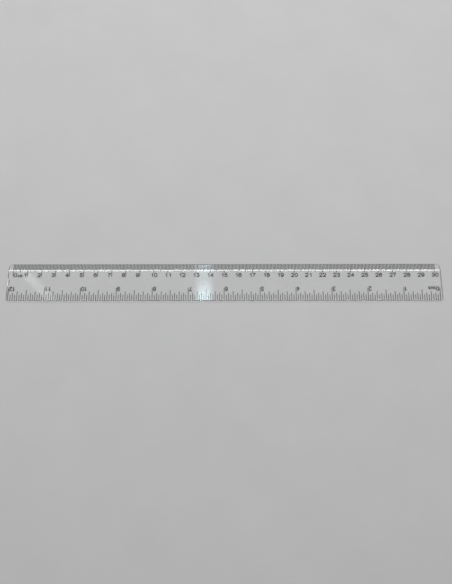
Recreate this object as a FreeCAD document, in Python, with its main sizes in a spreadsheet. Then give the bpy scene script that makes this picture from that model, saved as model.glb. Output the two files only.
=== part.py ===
import FreeCAD, Part

import math
import os

import Sketcher
from FreeCAD import Placement, Rotation, Vector

# A clear moulded plastic ruler, 30 cm on one edge and 12 in on the other.
#
# Frame: X along the blade, Y across it, Z up through its thickness, in millimetres.
# The origin is the middle of the underside. The centimetre edge is thinned by a bevel
# and faces +Y; the inch edge is square and faces -Y. The print is pressed into the
# underside and read through the blade from above, the centimetres along +Y upright and
# the inches along -Y turned half round, so each scale reads with its own edge uppermost.
#
# Each scale is drawn in a reading frame of its own: x runs along the scale from its zero
# mark, y = 0 is the edge of the blade and y falls towards the middle, z rises from the
# underside.

DRIVING_SIZES = (
    ("blade_length", 307.0),
    ("blade_width", 26.7),
    ("blade_thickness", 2.2),
    ("thin_edge_thickness", 0.95),
    ("bevel_width", 4.9),
    ("thin_side_corner_radius", 2.0),
    ("square_side_corner_radius", 0.8),
    ("gate_notch_width", 5.0),
    ("gate_notch_depth", 0.7),
    ("gate_notch_radius", 0.35),
    ("gate_stub_width", 2.4),
    ("gate_stub_height", 1.1),
    ("gate_stub_length", 0.5),
    ("gate_stub_root", 0.2),
    ("print_depth", 0.05),
    ("print_edge_gap", 0.3),
    ("print_end_gap", 0.6),
    ("print_shift", 0.3),
    ("mark_width", 0.34),
    ("millimetre_mark_reach", 4.1),
    ("half_centimetre_mark_reach", 5.2),
    ("centimetre_mark_reach", 6.3),
    ("sixteenth_inch_mark_reach", 4.35),
    ("eighth_inch_mark_reach", 5.65),
    ("quarter_inch_mark_reach", 6.8),
    ("half_inch_mark_reach", 7.9),
    ("numeral_gap", 0.2),
    ("centimetre_numeral_height", 2.9),
    ("centimetre_numeral_width", 2.3),
    ("centimetre_numeral_stroke", 0.44),
    ("inch_numeral_height", 3.2),
    ("inch_numeral_width", 2.1),
    ("inch_numeral_stroke", 0.46),
    ("numeral_spacing", 0.3),
    ("numeral_side_gap", 0.35),
    ("mark_reach_past_numeral_top", 2.5),
    ("unit_label_gap", 0.5),
    ("unit_label_letter_height", 1.75),
    ("unit_label_stem_height", 2.4),
    ("unit_label_letter_width", 1.2),
    ("unit_label_spacing", 0.3),
    ("unit_label_stroke", 0.38),
)

# True lengths of the graduations, which no size of the blade changes.
CENTIMETRE = 10.0
MILLIMETRES_PER_HALF_CENTIMETRE = 5
INCH = 25.4

# From this number on, a centimetre numeral has two digits and is centred under its mark.
FIRST_CENTRED_CENTIMETRE = 10

doc = FreeCAD.newDocument("ruler")
sheet = doc.addObject("Spreadsheet::Sheet", "sizes")
for row, (alias, value) in enumerate(DRIVING_SIZES, start=1):
    sheet.set(f"A{row}", alias)
    sheet.set(f"B{row}", str(value))
    sheet.setAlias(f"B{row}", alias)
doc.recompute()

sub_parts = []


def size(alias):
    """A driving size, read from the sheet."""
    return float(sheet.get(alias))


# ---------------------------------------------------------------- scales

# The print lies a little off the middle of the blade, towards the end with the gate.
PRINT_LENGTH = "sizes.blade_length - 2 * sizes.print_end_gap - 2 * sizes.print_shift"

# How many whole centimetres and inches fit between the ends. A centimetre numeral is
# wider than its mark, so its scale stays half a numeral further from the end.
WHOLE_CENTIMETRES = (
    f"floor(({PRINT_LENGTH} - 2 * sizes.centimetre_numeral_width"
    f" - sizes.numeral_spacing) / {CENTIMETRE})"
)
WHOLE_INCHES = f"floor(({PRINT_LENGTH}) / {INCH})"

centimetre_count = int(sheet.evalExpression(WHOLE_CENTIMETRES))
inch_count = int(sheet.evalExpression(WHOLE_INCHES))

CENTIMETRE_SCALE = {
    "unit": "centimetre",
    "step": CENTIMETRE,
    "zero_x": f"-{WHOLE_CENTIMETRES} * {CENTIMETRE} / 2 - sizes.print_shift",
    "along": 1,
    "edge_y": "sizes.blade_width / 2",
    "turn": Rotation(Vector(0, 0, 1), 0),
}
INCH_SCALE = {
    "unit": "inch",
    "step": INCH,
    "zero_x": f"{WHOLE_INCHES} * {INCH} / 2 - sizes.print_shift",
    "along": -1,
    "edge_y": "-sizes.blade_width / 2",
    "turn": Rotation(Vector(0, 0, 1), 180),
}

# How far the top of the numerals lies from the edge, clear of the marks above them.
CENTIMETRE_NUMERAL_TOP = "(sizes.centimetre_mark_reach + sizes.numeral_gap)"
INCH_NUMERAL_TOP = "(sizes.quarter_inch_mark_reach + sizes.numeral_gap)"

# A mark with its numeral beside it runs on past the numeral's top.
LONG_CENTIMETRE_MARK_REACH = f"{CENTIMETRE_NUMERAL_TOP} + sizes.mark_reach_past_numeral_top"
INCH_MARK_REACH = f"{INCH_NUMERAL_TOP} + sizes.mark_reach_past_numeral_top"


def scale_placement(scale):
    """The reading frame of a scale, in the frame of the blade."""
    zero_x = float(sheet.evalExpression(scale["zero_x"]))
    edge_y = float(sheet.evalExpression(scale["edge_y"]))
    return Placement(Vector(zero_x, edge_y, 0), scale["turn"])


# ---------------------------------------------------------------- sketches and bodies


def add_body(label):
    """A new body that keeps separate solids together."""
    body = doc.addObject("PartDesign::Body", label)
    body.Label = label
    body.AllowCompound = True
    return body


def origin_feature(body, role):
    """One of the body's own origin planes or axes."""
    return next(f for f in body.Origin.OriginFeatures if f.Role == role)


def add_sketch(body, name, plane_role):
    """An empty sketch on one of the body's own origin planes."""
    sketch = body.newObject("Sketcher::SketchObject", name)
    sketch.AttachmentSupport = [(origin_feature(body, plane_role), "")]
    sketch.MapMode = "FlatFace"
    return sketch


def draw_outline(sketch, corners):
    """Draws straight lines through the corners and back, joined end to start."""
    lines = []
    for begin, end in zip(corners, corners[1:] + corners[:1]):
        segment = Part.LineSegment(Vector(*begin, 0), Vector(*end, 0))
        lines.append(sketch.addGeometry(segment, False))
    for line, following in zip(lines, lines[1:] + lines[:1]):
        sketch.addConstraint(Sketcher.Constraint("Coincident", line, 2, following, 1))
    return lines


def draw_rectangle(sketch, left, bottom, right, top):
    """Draws an upright rectangle: its bottom, right, top and left lines, in that order."""
    corners = [(left, bottom), (right, bottom), (right, top), (left, top)]
    lines = draw_outline(sketch, corners)
    for line, direction in zip(lines, ("Horizontal", "Vertical", "Horizontal", "Vertical")):
        sketch.addConstraint(Sketcher.Constraint(direction, line))
    return lines


def dimension(sketch, kind, first, second, value, expression, name):
    """Adds a named distance from the first point to the second, bound to the sheet."""
    index = sketch.addConstraint(Sketcher.Constraint(kind, *first, *second, value))
    sketch.renameConstraint(index, name)
    sketch.setExpression(f"Constraints.{name}", expression)


SKETCH_ORIGIN = (-1, 1)


# ---------------------------------------------------------------- blade


def add_blade_blank():
    """The moulded blade before printing: its end profile drawn out along X."""
    body = add_body("blade_blank")
    half_width = size("blade_width") / 2
    thickness = size("blade_thickness")

    profile = add_sketch(body, "end_profile", "YZ_Plane")
    base, thin_edge, bevel, top, square_edge = draw_outline(profile, [
        (-half_width, 0),
        (half_width, 0),
        (half_width, size("thin_edge_thickness")),
        (half_width - size("bevel_width"), thickness),
        (-half_width, thickness),
    ])
    for line, direction in ((base, "Horizontal"), (thin_edge, "Vertical"),
                            (top, "Horizontal"), (square_edge, "Vertical")):
        profile.addConstraint(Sketcher.Constraint(direction, line))
    profile.addConstraint(Sketcher.Constraint(
        "Symmetric", base, 1, base, 2, *SKETCH_ORIGIN))
    dimension(profile, "DistanceX", (base, 1), (base, 2), 2 * half_width,
              "sizes.blade_width", "width")
    dimension(profile, "DistanceY", (square_edge, 2), (square_edge, 1), thickness,
              "sizes.blade_thickness", "thickness")
    dimension(profile, "DistanceY", (thin_edge, 1), (thin_edge, 2),
              size("thin_edge_thickness"), "sizes.thin_edge_thickness", "thin_edge")
    dimension(profile, "DistanceX", (bevel, 2), (bevel, 1), size("bevel_width"),
              "sizes.bevel_width", "bevel")

    length = body.newObject("PartDesign::Pad", "blade_pad")
    length.Profile = profile
    length.SideType = "Symmetric"
    length.setExpression("Length", "sizes.blade_length")
    doc.recompute()

    round_corners(body, length, +1, "thin_side_corner_radius")
    round_corners(body, body.Tip, -1, "square_side_corner_radius")
    add_gate_vestige(body)
    return body


def round_corners(body, feature, side, radius_alias):
    """Rounds the two upright corners of the blade on the +Y or the -Y side."""
    names = []
    for index, edge in enumerate(feature.Shape.Edges, start=1):
        begin, end = (vertex.Point for vertex in edge.Vertexes)
        upright = math.hypot(end.x - begin.x, end.y - begin.y) < 1e-6
        if upright and begin.y * side > size("blade_width") / 2 - 1e-6:
            names.append(f"Edge{index}")
    fillet = body.newObject("PartDesign::Fillet", radius_alias.replace("_radius", "s"))
    fillet.Base = (feature, names)
    fillet.setExpression("Radius", f"sizes.{radius_alias}")
    doc.recompute()


def add_gate_vestige(body):
    """The notch in the -X end, with the stub of the moulding gate standing in it."""
    end_x = -size("blade_length") / 2

    notch = add_sketch(body, "gate_notch", "XY_Plane")
    notch.AttachmentOffset = Placement(Vector(end_x, 0, 0), Rotation())
    notch.setExpression(".AttachmentOffset.Base.x", "-sizes.blade_length / 2")
    half_notch = size("gate_notch_width") / 2
    depth = size("gate_notch_depth")
    base, inner, _, _ = draw_rectangle(notch, -depth, -half_notch, depth, half_notch)
    notch.addConstraint(Sketcher.Constraint("Symmetric", base, 1, inner, 2, *SKETCH_ORIGIN))
    dimension(notch, "DistanceX", (base, 1), (base, 2), 2 * depth,
              "2 * sizes.gate_notch_depth", "depth_both_ways")
    dimension(notch, "DistanceY", (inner, 1), (inner, 2), 2 * half_notch,
              "sizes.gate_notch_width", "width")
    pocket = body.newObject("PartDesign::Pocket", "gate_notch_pocket")
    pocket.Profile = notch
    pocket.Type = "ThroughAll"
    pocket.SideType = "Symmetric"
    doc.recompute()

    names = []
    for index, edge in enumerate(pocket.Shape.Edges, start=1):
        begin, end = (vertex.Point for vertex in edge.Vertexes)
        upright = math.hypot(end.x - begin.x, end.y - begin.y) < 1e-6
        inside = abs(begin.x - (end_x + depth)) < 1e-6
        if upright and inside and abs(begin.y) < half_notch + 1e-6:
            names.append(f"Edge{index}")
    fillet = body.newObject("PartDesign::Fillet", "gate_notch_corners")
    fillet.Base = (pocket, names)
    fillet.setExpression("Radius", "sizes.gate_notch_radius")
    doc.recompute()

    # The stub rises from the floor of the notch, half way up the thickness, and is
    # drawn a little into the blade so that the two are one moulding.
    stub = add_sketch(body, "gate_stub", "YZ_Plane")
    half_stub = size("gate_stub_width") / 2
    middle = size("blade_thickness") / 2
    half_height = size("gate_stub_height") / 2
    stub.AttachmentOffset = Placement(Vector(0, middle, end_x + depth), Rotation())
    stub.setExpression(".AttachmentOffset.Base.y", "sizes.blade_thickness / 2")
    stub.setExpression(".AttachmentOffset.Base.z",
                       "-sizes.blade_length / 2 + sizes.gate_notch_depth")
    base, inner, _, _ = draw_rectangle(stub, -half_stub, -half_height, half_stub, half_height)
    stub.addConstraint(Sketcher.Constraint("Symmetric", base, 1, inner, 2, *SKETCH_ORIGIN))
    dimension(stub, "DistanceX", (base, 1), (base, 2), 2 * half_stub,
              "sizes.gate_stub_width", "width")
    dimension(stub, "DistanceY", (inner, 1), (inner, 2), 2 * half_height,
              "sizes.gate_stub_height", "height")
    pad = body.newObject("PartDesign::Pad", "gate_stub_pad")
    pad.Profile = stub
    pad.SideType = "Two sides"
    pad.setExpression("Length", "sizes.gate_stub_root")
    pad.setExpression("Length2", "sizes.gate_stub_length")
    doc.recompute()


# ---------------------------------------------------------------- marks


def add_mark_row(body, name, first, pitch, count, reach):
    """
    One mark and its copies along the scale.

    first: how far the first mark lies from the body's own origin
    pitch: from one mark to the next
    count: how many marks, as an expression
    reach: how far from the blade's edge a mark ends, as an expression
    """
    sketch = add_sketch(body, f"{name}_outline", "XY_Plane")
    sketch.AttachmentOffset = Placement(Vector(first, 0, 0), Rotation())
    half_width = size("mark_width") / 2
    gap = size("print_edge_gap")
    end = float(sheet.evalExpression(reach))
    lower, right, upper, _ = draw_rectangle(sketch, -half_width, -end, half_width, -gap)
    dimension(sketch, "DistanceX", (lower, 1), (lower, 2), 2 * half_width,
              "sizes.mark_width", "width")
    dimension(sketch, "DistanceX", (lower, 1), SKETCH_ORIGIN, half_width,
              "sizes.mark_width / 2", "half_width")
    dimension(sketch, "DistanceY", (upper, 1), SKETCH_ORIGIN, gap,
              "sizes.print_edge_gap", "edge_gap")
    dimension(sketch, "DistanceY", (right, 1), SKETCH_ORIGIN, end, reach, "reach")

    pad = body.newObject("PartDesign::Pad", f"{name}_pad")
    pad.Profile = sketch
    pad.setExpression("Length", "sizes.print_depth")
    doc.recompute()

    row = body.newObject("PartDesign::LinearPattern", f"{name}_row")
    row.Originals = [pad]
    row.Direction = (origin_feature(body, "X_Axis"), [""])
    row.Mode = "Spacing"
    row.Offset = pitch
    row.setExpression("Occurrences", count)
    body.Tip = row
    doc.recompute()
    return row


def add_marks(label, scale, first):
    """A body for one kind of mark, with its origin at the first mark of that kind."""
    body = add_body(label)
    start = f"{scale['zero_x']} + {scale['along'] * first}"
    body.Placement = Placement(Vector(0, 0, 0), scale["turn"])
    body.setExpression(".Placement.Base.x", start)
    body.setExpression(".Placement.Base.y", scale["edge_y"])
    sub_parts.append(body)
    return body


def add_centimetre_marks():
    """The three lengths of mark along the centimetre edge."""
    millimetre = CENTIMETRE / 10
    half = CENTIMETRE / 2

    # Four millimetre marks lie between each half centimetre, then the group repeats.
    body = add_marks("millimetre_marks", CENTIMETRE_SCALE, millimetre)
    row = add_mark_row(body, "millimetre_mark", 0, millimetre,
                       str(MILLIMETRES_PER_HALF_CENTIMETRE - 1), "sizes.millimetre_mark_reach")
    row.Direction2 = (origin_feature(body, "X_Axis"), [""])
    row.Mode2 = "Spacing"
    row.Offset2 = half
    row.setExpression("Occurrences2", f"2 * {WHOLE_CENTIMETRES}")
    doc.recompute()

    body = add_marks("half_centimetre_marks", CENTIMETRE_SCALE, half)
    add_mark_row(body, "half_centimetre_mark", 0, CENTIMETRE, WHOLE_CENTIMETRES,
                 "sizes.half_centimetre_mark_reach")

    body = add_marks("centimetre_marks", CENTIMETRE_SCALE, 0)
    add_mark_row(body, "long_centimetre_mark", 0, CENTIMETRE,
                 str(FIRST_CENTRED_CENTIMETRE), LONG_CENTIMETRE_MARK_REACH)
    add_mark_row(body, "centimetre_mark", FIRST_CENTRED_CENTIMETRE * CENTIMETRE, CENTIMETRE,
                 f"{WHOLE_CENTIMETRES} + {1 - FIRST_CENTRED_CENTIMETRE}",
                 "sizes.centimetre_mark_reach")


def add_inch_marks():
    """The five lengths of mark along the inch edge: each kind falls between the coarser."""
    for label, parts_per_inch, reach in (
        ("sixteenth_inch_marks", 16, "sizes.sixteenth_inch_mark_reach"),
        ("eighth_inch_marks", 8, "sizes.eighth_inch_mark_reach"),
        ("quarter_inch_marks", 4, "sizes.quarter_inch_mark_reach"),
        ("half_inch_marks", 2, "sizes.half_inch_mark_reach"),
    ):
        first = INCH / parts_per_inch
        body = add_marks(label, INCH_SCALE, first)
        add_mark_row(body, label.rstrip("s"), 0, 2 * first,
                     f"{parts_per_inch // 2} * {WHOLE_INCHES}", reach)

    body = add_marks("inch_marks", INCH_SCALE, 0)
    add_mark_row(body, "inch_mark", 0, INCH, f"{WHOLE_INCHES} + 1", INCH_MARK_REACH)


# ---------------------------------------------------------------- lettering


class Pen:
    """Draws flat strokes of one width with round ends, for numerals and letters."""

    def __init__(self, stroke):
        self.half = stroke / 2
        self.shapes = [[]]

    def lift(self):
        """Begins a stroke that stands apart from those before it, as the dot of an i."""
        self.shapes.append([])

    def add(self, face):
        """Adds a piece of a stroke to the shape being drawn."""
        self.shapes[-1].append(face)

    def dot(self, x, y):
        """A round dot, as wide as the stroke."""
        circle = Part.Circle(Vector(x, y, 0), Vector(0, 0, 1), self.half)
        self.add(Part.Face(Part.Wire([circle.toShape()])))

    def line(self, *points):
        """Straight strokes from point to point."""
        for (begin_x, begin_y), (end_x, end_y) in zip(points, points[1:]):
            begin = Vector(begin_x, begin_y, 0)
            end = Vector(end_x, end_y, 0)
            along = (end - begin).normalize()
            side = Vector(-along.y, along.x, 0) * self.half
            corners = [begin + side, begin - side, end - side, end + side, begin + side]
            self.add(Part.Face(Part.makePolygon(corners)))
        for x, y in points:
            self.dot(x, y)

    def arc(self, x, y, radius, begin, end):
        """A round stroke about (x, y), anticlockwise from one angle to another."""
        def at(distance, angle):
            turn = math.radians(angle)
            return Vector(x + distance * math.cos(turn), y + distance * math.sin(turn), 0)

        middle = (begin + end) / 2
        outer = radius + self.half
        inner = radius - self.half
        outline = Part.Wire([
            Part.Arc(at(outer, begin), at(outer, middle), at(outer, end)).toShape(),
            Part.LineSegment(at(outer, end), at(inner, end)).toShape(),
            Part.Arc(at(inner, end), at(inner, middle), at(inner, begin)).toShape(),
            Part.LineSegment(at(inner, begin), at(outer, begin)).toShape(),
        ])
        self.add(Part.Face(outline))
        for angle in (begin, end):
            tip = at(radius, angle)
            self.dot(tip.x, tip.y)

    def loop(self, left, bottom, right, top):
        """A closed oval stroke: two half circles joined by straight sides."""
        width = right - left
        height = top - bottom
        radius = min(width, height) / 2
        if height >= width:
            self.arc(left + radius, top - radius, radius, 0, 180)
            self.arc(left + radius, bottom + radius, radius, 180, 360)
            self.straight(left, bottom + radius, left, top - radius)
            self.straight(right, bottom + radius, right, top - radius)
        else:
            self.arc(left + radius, bottom + radius, radius, 90, 270)
            self.arc(right - radius, bottom + radius, radius, -90, 90)
            self.straight(left + radius, bottom, right - radius, bottom)
            self.straight(left + radius, top, right - radius, top)

    def straight(self, begin_x, begin_y, end_x, end_y):
        """One straight stroke, left out where it would have no length."""
        if math.hypot(end_x - begin_x, end_y - begin_y) > self.half / 10:
            self.line((begin_x, begin_y), (end_x, end_y))

    def solids(self, depth, left, bottom):
        """Each shape as one flat solid, with its cell's lower left corner placed."""
        solids = []
        for first, *others in self.shapes:
            outline = first.multiFuse(others).removeSplitter() if others else first
            outline.translate(Vector(left + self.half, bottom + self.half, 0))
            solids += outline.extrude(Vector(0, 0, depth)).Solids
        if len(solids) != len(self.shapes):
            raise RuntimeError("the strokes of a shape don't join")
        return solids


def tangent_from_above(x, y, radius, point_x, point_y):
    """The angle on a circle where a line to a point below it leaves its right side."""
    reach = math.hypot(point_x - x, point_y - y)
    towards = math.degrees(math.atan2(point_y - y, point_x - x))
    return towards + math.degrees(math.acos(radius / reach))


def draw_zero(pen, width, height):
    pen.loop(0, 0, width, height)


def draw_one(pen, width, height):
    stem = 0.78 * width
    pen.line((stem - 0.46 * width, height - 0.24 * height), (stem, height), (stem, 0))


def draw_two(pen, width, height):
    radius = width / 2
    leave = tangent_from_above(radius, height - radius, radius, 0, 0)
    pen.arc(radius, height - radius, radius, leave, 170)
    turn = math.radians(leave)
    tangent = (radius + radius * math.cos(turn), height - radius + radius * math.sin(turn))
    pen.line(tangent, (0, 0), (width, 0))


def draw_three(pen, width, height):
    upper = 0.24 * height
    lower = (height - 2 * upper) / 2
    waist = 2 * lower
    pen.line((0.1 * width, height), (width - upper, height))
    pen.arc(width - upper, height - upper, upper, -90, 90)
    pen.line((width - upper, waist), (0.38 * width, waist))
    pen.straight(width - lower, waist, width - upper, waist)
    pen.arc(width - lower, lower, lower, -90, 90)
    pen.line((width - lower, 0), (0.06 * width, 0))


def draw_four(pen, width, height):
    stem = 0.76 * width
    bar = 0.28 * height
    pen.line((stem, 0), (stem, height), (0, bar), (width, bar))


def draw_five(pen, width, height):
    radius = 0.3 * height
    shoulder = 2 * radius
    pen.line((0.9 * width, height), (0.12 * width, height), (0.04 * width, shoulder),
             (width - radius, shoulder))
    pen.arc(width - radius, radius, radius, -90, 90)
    pen.line((width - radius, 0), (0, 0))


def draw_six(pen, width, height):
    radius = width / 2
    pen.loop(0, 0, width, 0.6 * height)
    pen.arc(radius, height - radius, radius, 35, 180)
    pen.line((0, height - radius), (0, 0.3 * height))


def draw_seven(pen, width, height):
    pen.line((0, height), (width, height), (0.3 * width, 0))


def draw_eight(pen, width, height):
    waist = 0.53 * height
    inset = 0.06 * width
    pen.loop(0, 0, width, waist)
    pen.loop(inset, waist, width - inset, height)


def draw_nine(pen, width, height):
    radius = width / 2
    pen.loop(0, 0.4 * height, width, height)
    pen.arc(radius, radius, radius, 215, 360)
    pen.line((width, radius), (width, 0.7 * height))


DRAW_DIGIT = (draw_zero, draw_one, draw_two, draw_three, draw_four,
              draw_five, draw_six, draw_seven, draw_eight, draw_nine)


def draw_letter_c(pen, width, height, _):
    radius = width / 2
    pen.arc(radius, height - radius, radius, 30, 180)
    pen.straight(0, radius, 0, height - radius)
    pen.arc(radius, radius, radius, 180, 330)


def draw_letter_n(pen, width, height, _):
    radius = width / 2
    pen.line((0, 0), (0, height))
    pen.arc(radius, height - radius, radius, 0, 180)
    pen.line((width, height - radius), (width, 0))


def draw_letter_h(pen, width, height, stem):
    draw_letter_n(pen, width, height, stem)
    pen.line((0, height), (0, stem))


def draw_letter_i(pen, _, height, stem):
    pen.line((0, 0), (0, height))
    pen.lift()
    pen.dot(0, stem)


def draw_letter_m(pen, width, height, _):
    radius = width / 4
    pen.line((0, 0), (0, height))
    for hump in (radius, 3 * radius):
        pen.arc(hump, height - radius, radius, 0, 180)
        pen.line((hump + radius, height - radius), (hump + radius, 0))


LETTERS = {
    "c": (draw_letter_c, 1.0),
    "h": (draw_letter_h, 1.0),
    "i": (draw_letter_i, 0.0),
    "m": (draw_letter_m, 1.6),
    "n": (draw_letter_n, 1.0),
}


def numeral_size(scale, name):
    """The height, width or stroke of a scale's numerals."""
    return size(f"{scale['unit']}_numeral_{name}")


def numeral_solids(scale, number, left, top):
    """The digits of a number, with the upper left corner of the first at (left, -top)."""
    stroke = numeral_size(scale, "stroke")
    height = numeral_size(scale, "height")
    width = numeral_size(scale, "width")
    solids = []
    for digit in str(number):
        pen = Pen(stroke)
        DRAW_DIGIT[int(digit)](pen, width - stroke, height - stroke)
        solids += pen.solids(size("print_depth"), left, -top - height)
        left += width + size("numeral_spacing")
    return solids


def numeral_span(scale, number):
    """How wide a number is, from its first digit's cell to its last."""
    digits = len(str(number))
    return digits * numeral_size(scale, "width") + (digits - 1) * size("numeral_spacing")


def beside_mark(scale, number, mark_x):
    """Where a number starts when it stands beside its own long mark."""
    clearance = size("mark_width") / 2 + size("numeral_side_gap")
    if number == 0:
        return mark_x + clearance
    return mark_x - clearance - numeral_span(scale, number)


def place_lettering(label, scale, solids):
    """A sub-part of lettering, drawn in the reading frame of its scale."""
    lettering = doc.addObject("Part::Feature", label)
    lettering.Label = label
    lettering.Shape = Part.makeCompound(solids)
    lettering.Placement = scale_placement(scale)
    sub_parts.append(lettering)


def add_numerals(label, scale, count, first_centred, top):
    """A number for each whole unit: beside its long mark, or centred under a short one."""
    solids = []
    for number in range(count + 1):
        mark_x = number * scale["step"]
        left = beside_mark(scale, number, mark_x)
        if number >= first_centred:
            left = mark_x - numeral_span(scale, number) / 2
        solids += numeral_solids(scale, number, left, top)
    place_lettering(label, scale, solids)


def add_unit_label(label, scale, letters, top):
    """The unit's short name, to the right of the zero and on the same line."""
    stroke = size("unit_label_stroke")
    letter_height = size("unit_label_letter_height") - stroke
    stem_height = size("unit_label_stem_height") - stroke
    baseline = -top - numeral_size(scale, "height")
    left = beside_mark(scale, 0, 0) + numeral_span(scale, 0) + size("unit_label_gap")
    solids = []
    for letter in letters:
        draw, widening = LETTERS[letter]
        width = widening * (size("unit_label_letter_width") - stroke)
        pen = Pen(stroke)
        draw(pen, width, letter_height, stem_height)
        solids += pen.solids(size("print_depth"), left, baseline)
        left += width + stroke + size("unit_label_spacing")
    place_lettering(label, scale, solids)


# ---------------------------------------------------------------- the ruler

blank = add_blade_blank()
add_centimetre_marks()
add_inch_marks()

centimetre_top = float(sheet.evalExpression(CENTIMETRE_NUMERAL_TOP))
inch_top = float(sheet.evalExpression(INCH_NUMERAL_TOP))
add_numerals("centimetre_numerals", CENTIMETRE_SCALE, centimetre_count,
             FIRST_CENTRED_CENTIMETRE, centimetre_top)
add_unit_label("centimetre_unit_label", CENTIMETRE_SCALE, "cm", centimetre_top)
add_numerals("inch_numerals", INCH_SCALE, inch_count, inch_count + 1, inch_top)
add_unit_label("inch_unit_label", INCH_SCALE, "inch", inch_top)

# The print lies flush in the underside, so the blade is its blank less the print.
all_print = doc.addObject("Part::Compound", "all_print")
all_print.Links = list(sub_parts)
blade = doc.addObject("Part::Cut", "blade")
blade.Label = "blade"
blade.Base = blank
blade.Tool = all_print
blade.Refine = False
sub_parts.insert(0, blade)
doc.recompute()

for item in doc.Objects:
    if "Invalid" in item.State or "Error" in item.State:
        raise RuntimeError(f"{item.Label} was not built: {item.State}")
for sub_part in sub_parts:
    if sub_part.Shape.isNull() or not sub_part.Shape.isValid():
        raise RuntimeError(f"{sub_part.Label} has no valid shape")

os.makedirs("parts", exist_ok=True)
for sub_part in sub_parts:
    sub_part.Shape.exportStep(f"parts/{sub_part.Label}.step")
    solids = len(sub_part.Shape.Solids)
    print(f"{sub_part.Label}: {solids} solids, {sub_part.Shape.Volume:.3f} cubic millimetres")
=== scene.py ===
import logging
import math
import random
from collections.abc import Callable, Iterable, Sequence
from dataclasses import dataclass, field
from enum import Enum
from typing import NamedTuple

import bmesh
import bpy
from mathutils import Matrix, Vector, geometry


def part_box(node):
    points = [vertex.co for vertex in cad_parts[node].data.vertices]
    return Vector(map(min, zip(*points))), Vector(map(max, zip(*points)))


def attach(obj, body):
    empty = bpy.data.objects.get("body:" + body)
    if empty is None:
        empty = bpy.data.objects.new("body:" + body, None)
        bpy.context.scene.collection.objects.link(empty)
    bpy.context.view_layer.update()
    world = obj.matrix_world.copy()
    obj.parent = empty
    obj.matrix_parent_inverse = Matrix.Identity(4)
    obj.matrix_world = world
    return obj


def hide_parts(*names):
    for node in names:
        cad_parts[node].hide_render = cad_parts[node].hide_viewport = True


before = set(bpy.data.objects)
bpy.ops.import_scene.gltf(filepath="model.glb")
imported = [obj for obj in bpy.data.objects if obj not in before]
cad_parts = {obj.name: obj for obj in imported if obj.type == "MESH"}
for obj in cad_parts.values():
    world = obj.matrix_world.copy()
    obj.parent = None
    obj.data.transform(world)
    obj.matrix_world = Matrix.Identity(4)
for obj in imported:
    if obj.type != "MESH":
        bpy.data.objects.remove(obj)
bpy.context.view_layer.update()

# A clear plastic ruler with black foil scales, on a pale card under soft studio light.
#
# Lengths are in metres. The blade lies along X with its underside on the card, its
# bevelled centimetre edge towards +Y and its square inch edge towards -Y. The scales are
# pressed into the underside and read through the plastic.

LOG = logging.getLogger("ruler")

MM = 0.001
ROOT_BODY = "root"

# The plastic's underside clears the foil's own underside by a hair, so that the foil
# stands proud of it and no two faces share a plane.
UNDERSIDE_LIFT = 0.012 * MM

# How far the card lies below the ruler. The foil's soft shadow on the card darkens the
# marked bands, and the gap was fitted to their tone, so it isn't a measured size.
CARD_GAP = 0.28 * MM

# The middle part of a noise's range, where most of its values lie, and its roughness.
CLOUD_RANGE = (0.3, 0.7)
CLOUD_ROUGHNESS = 0.6

# Scratches are cells drawn out lengthwise, and show only where a slow noise is high.
SCRATCH_STRETCH = (0.07, 1.0, 1.0)
SCRATCH_PATCHES_PER_METRE = 90.0
SCRATCH_PATCH_RANGE = (0.52, 0.66)

# Points of the blade closer than the first are one point; the second is for cutting it.
SAME_POINT = 0.0005 * MM
ON_THE_CUT = 0.0001 * MM


# ---------------------------------------------------------------- shader node helpers


Socket = bpy.types.NodeSocket
Node = bpy.types.Node

# A linear colour, or a place in metres.
Triple = tuple[float, float, float]


class Mix(Enum):
    """How two colours or numbers are combined."""

    MULTIPLY = "MULTIPLY"
    ADD = "ADD"
    SUBTRACT = "SUBTRACT"
    MAXIMUM = "MAXIMUM"


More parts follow.
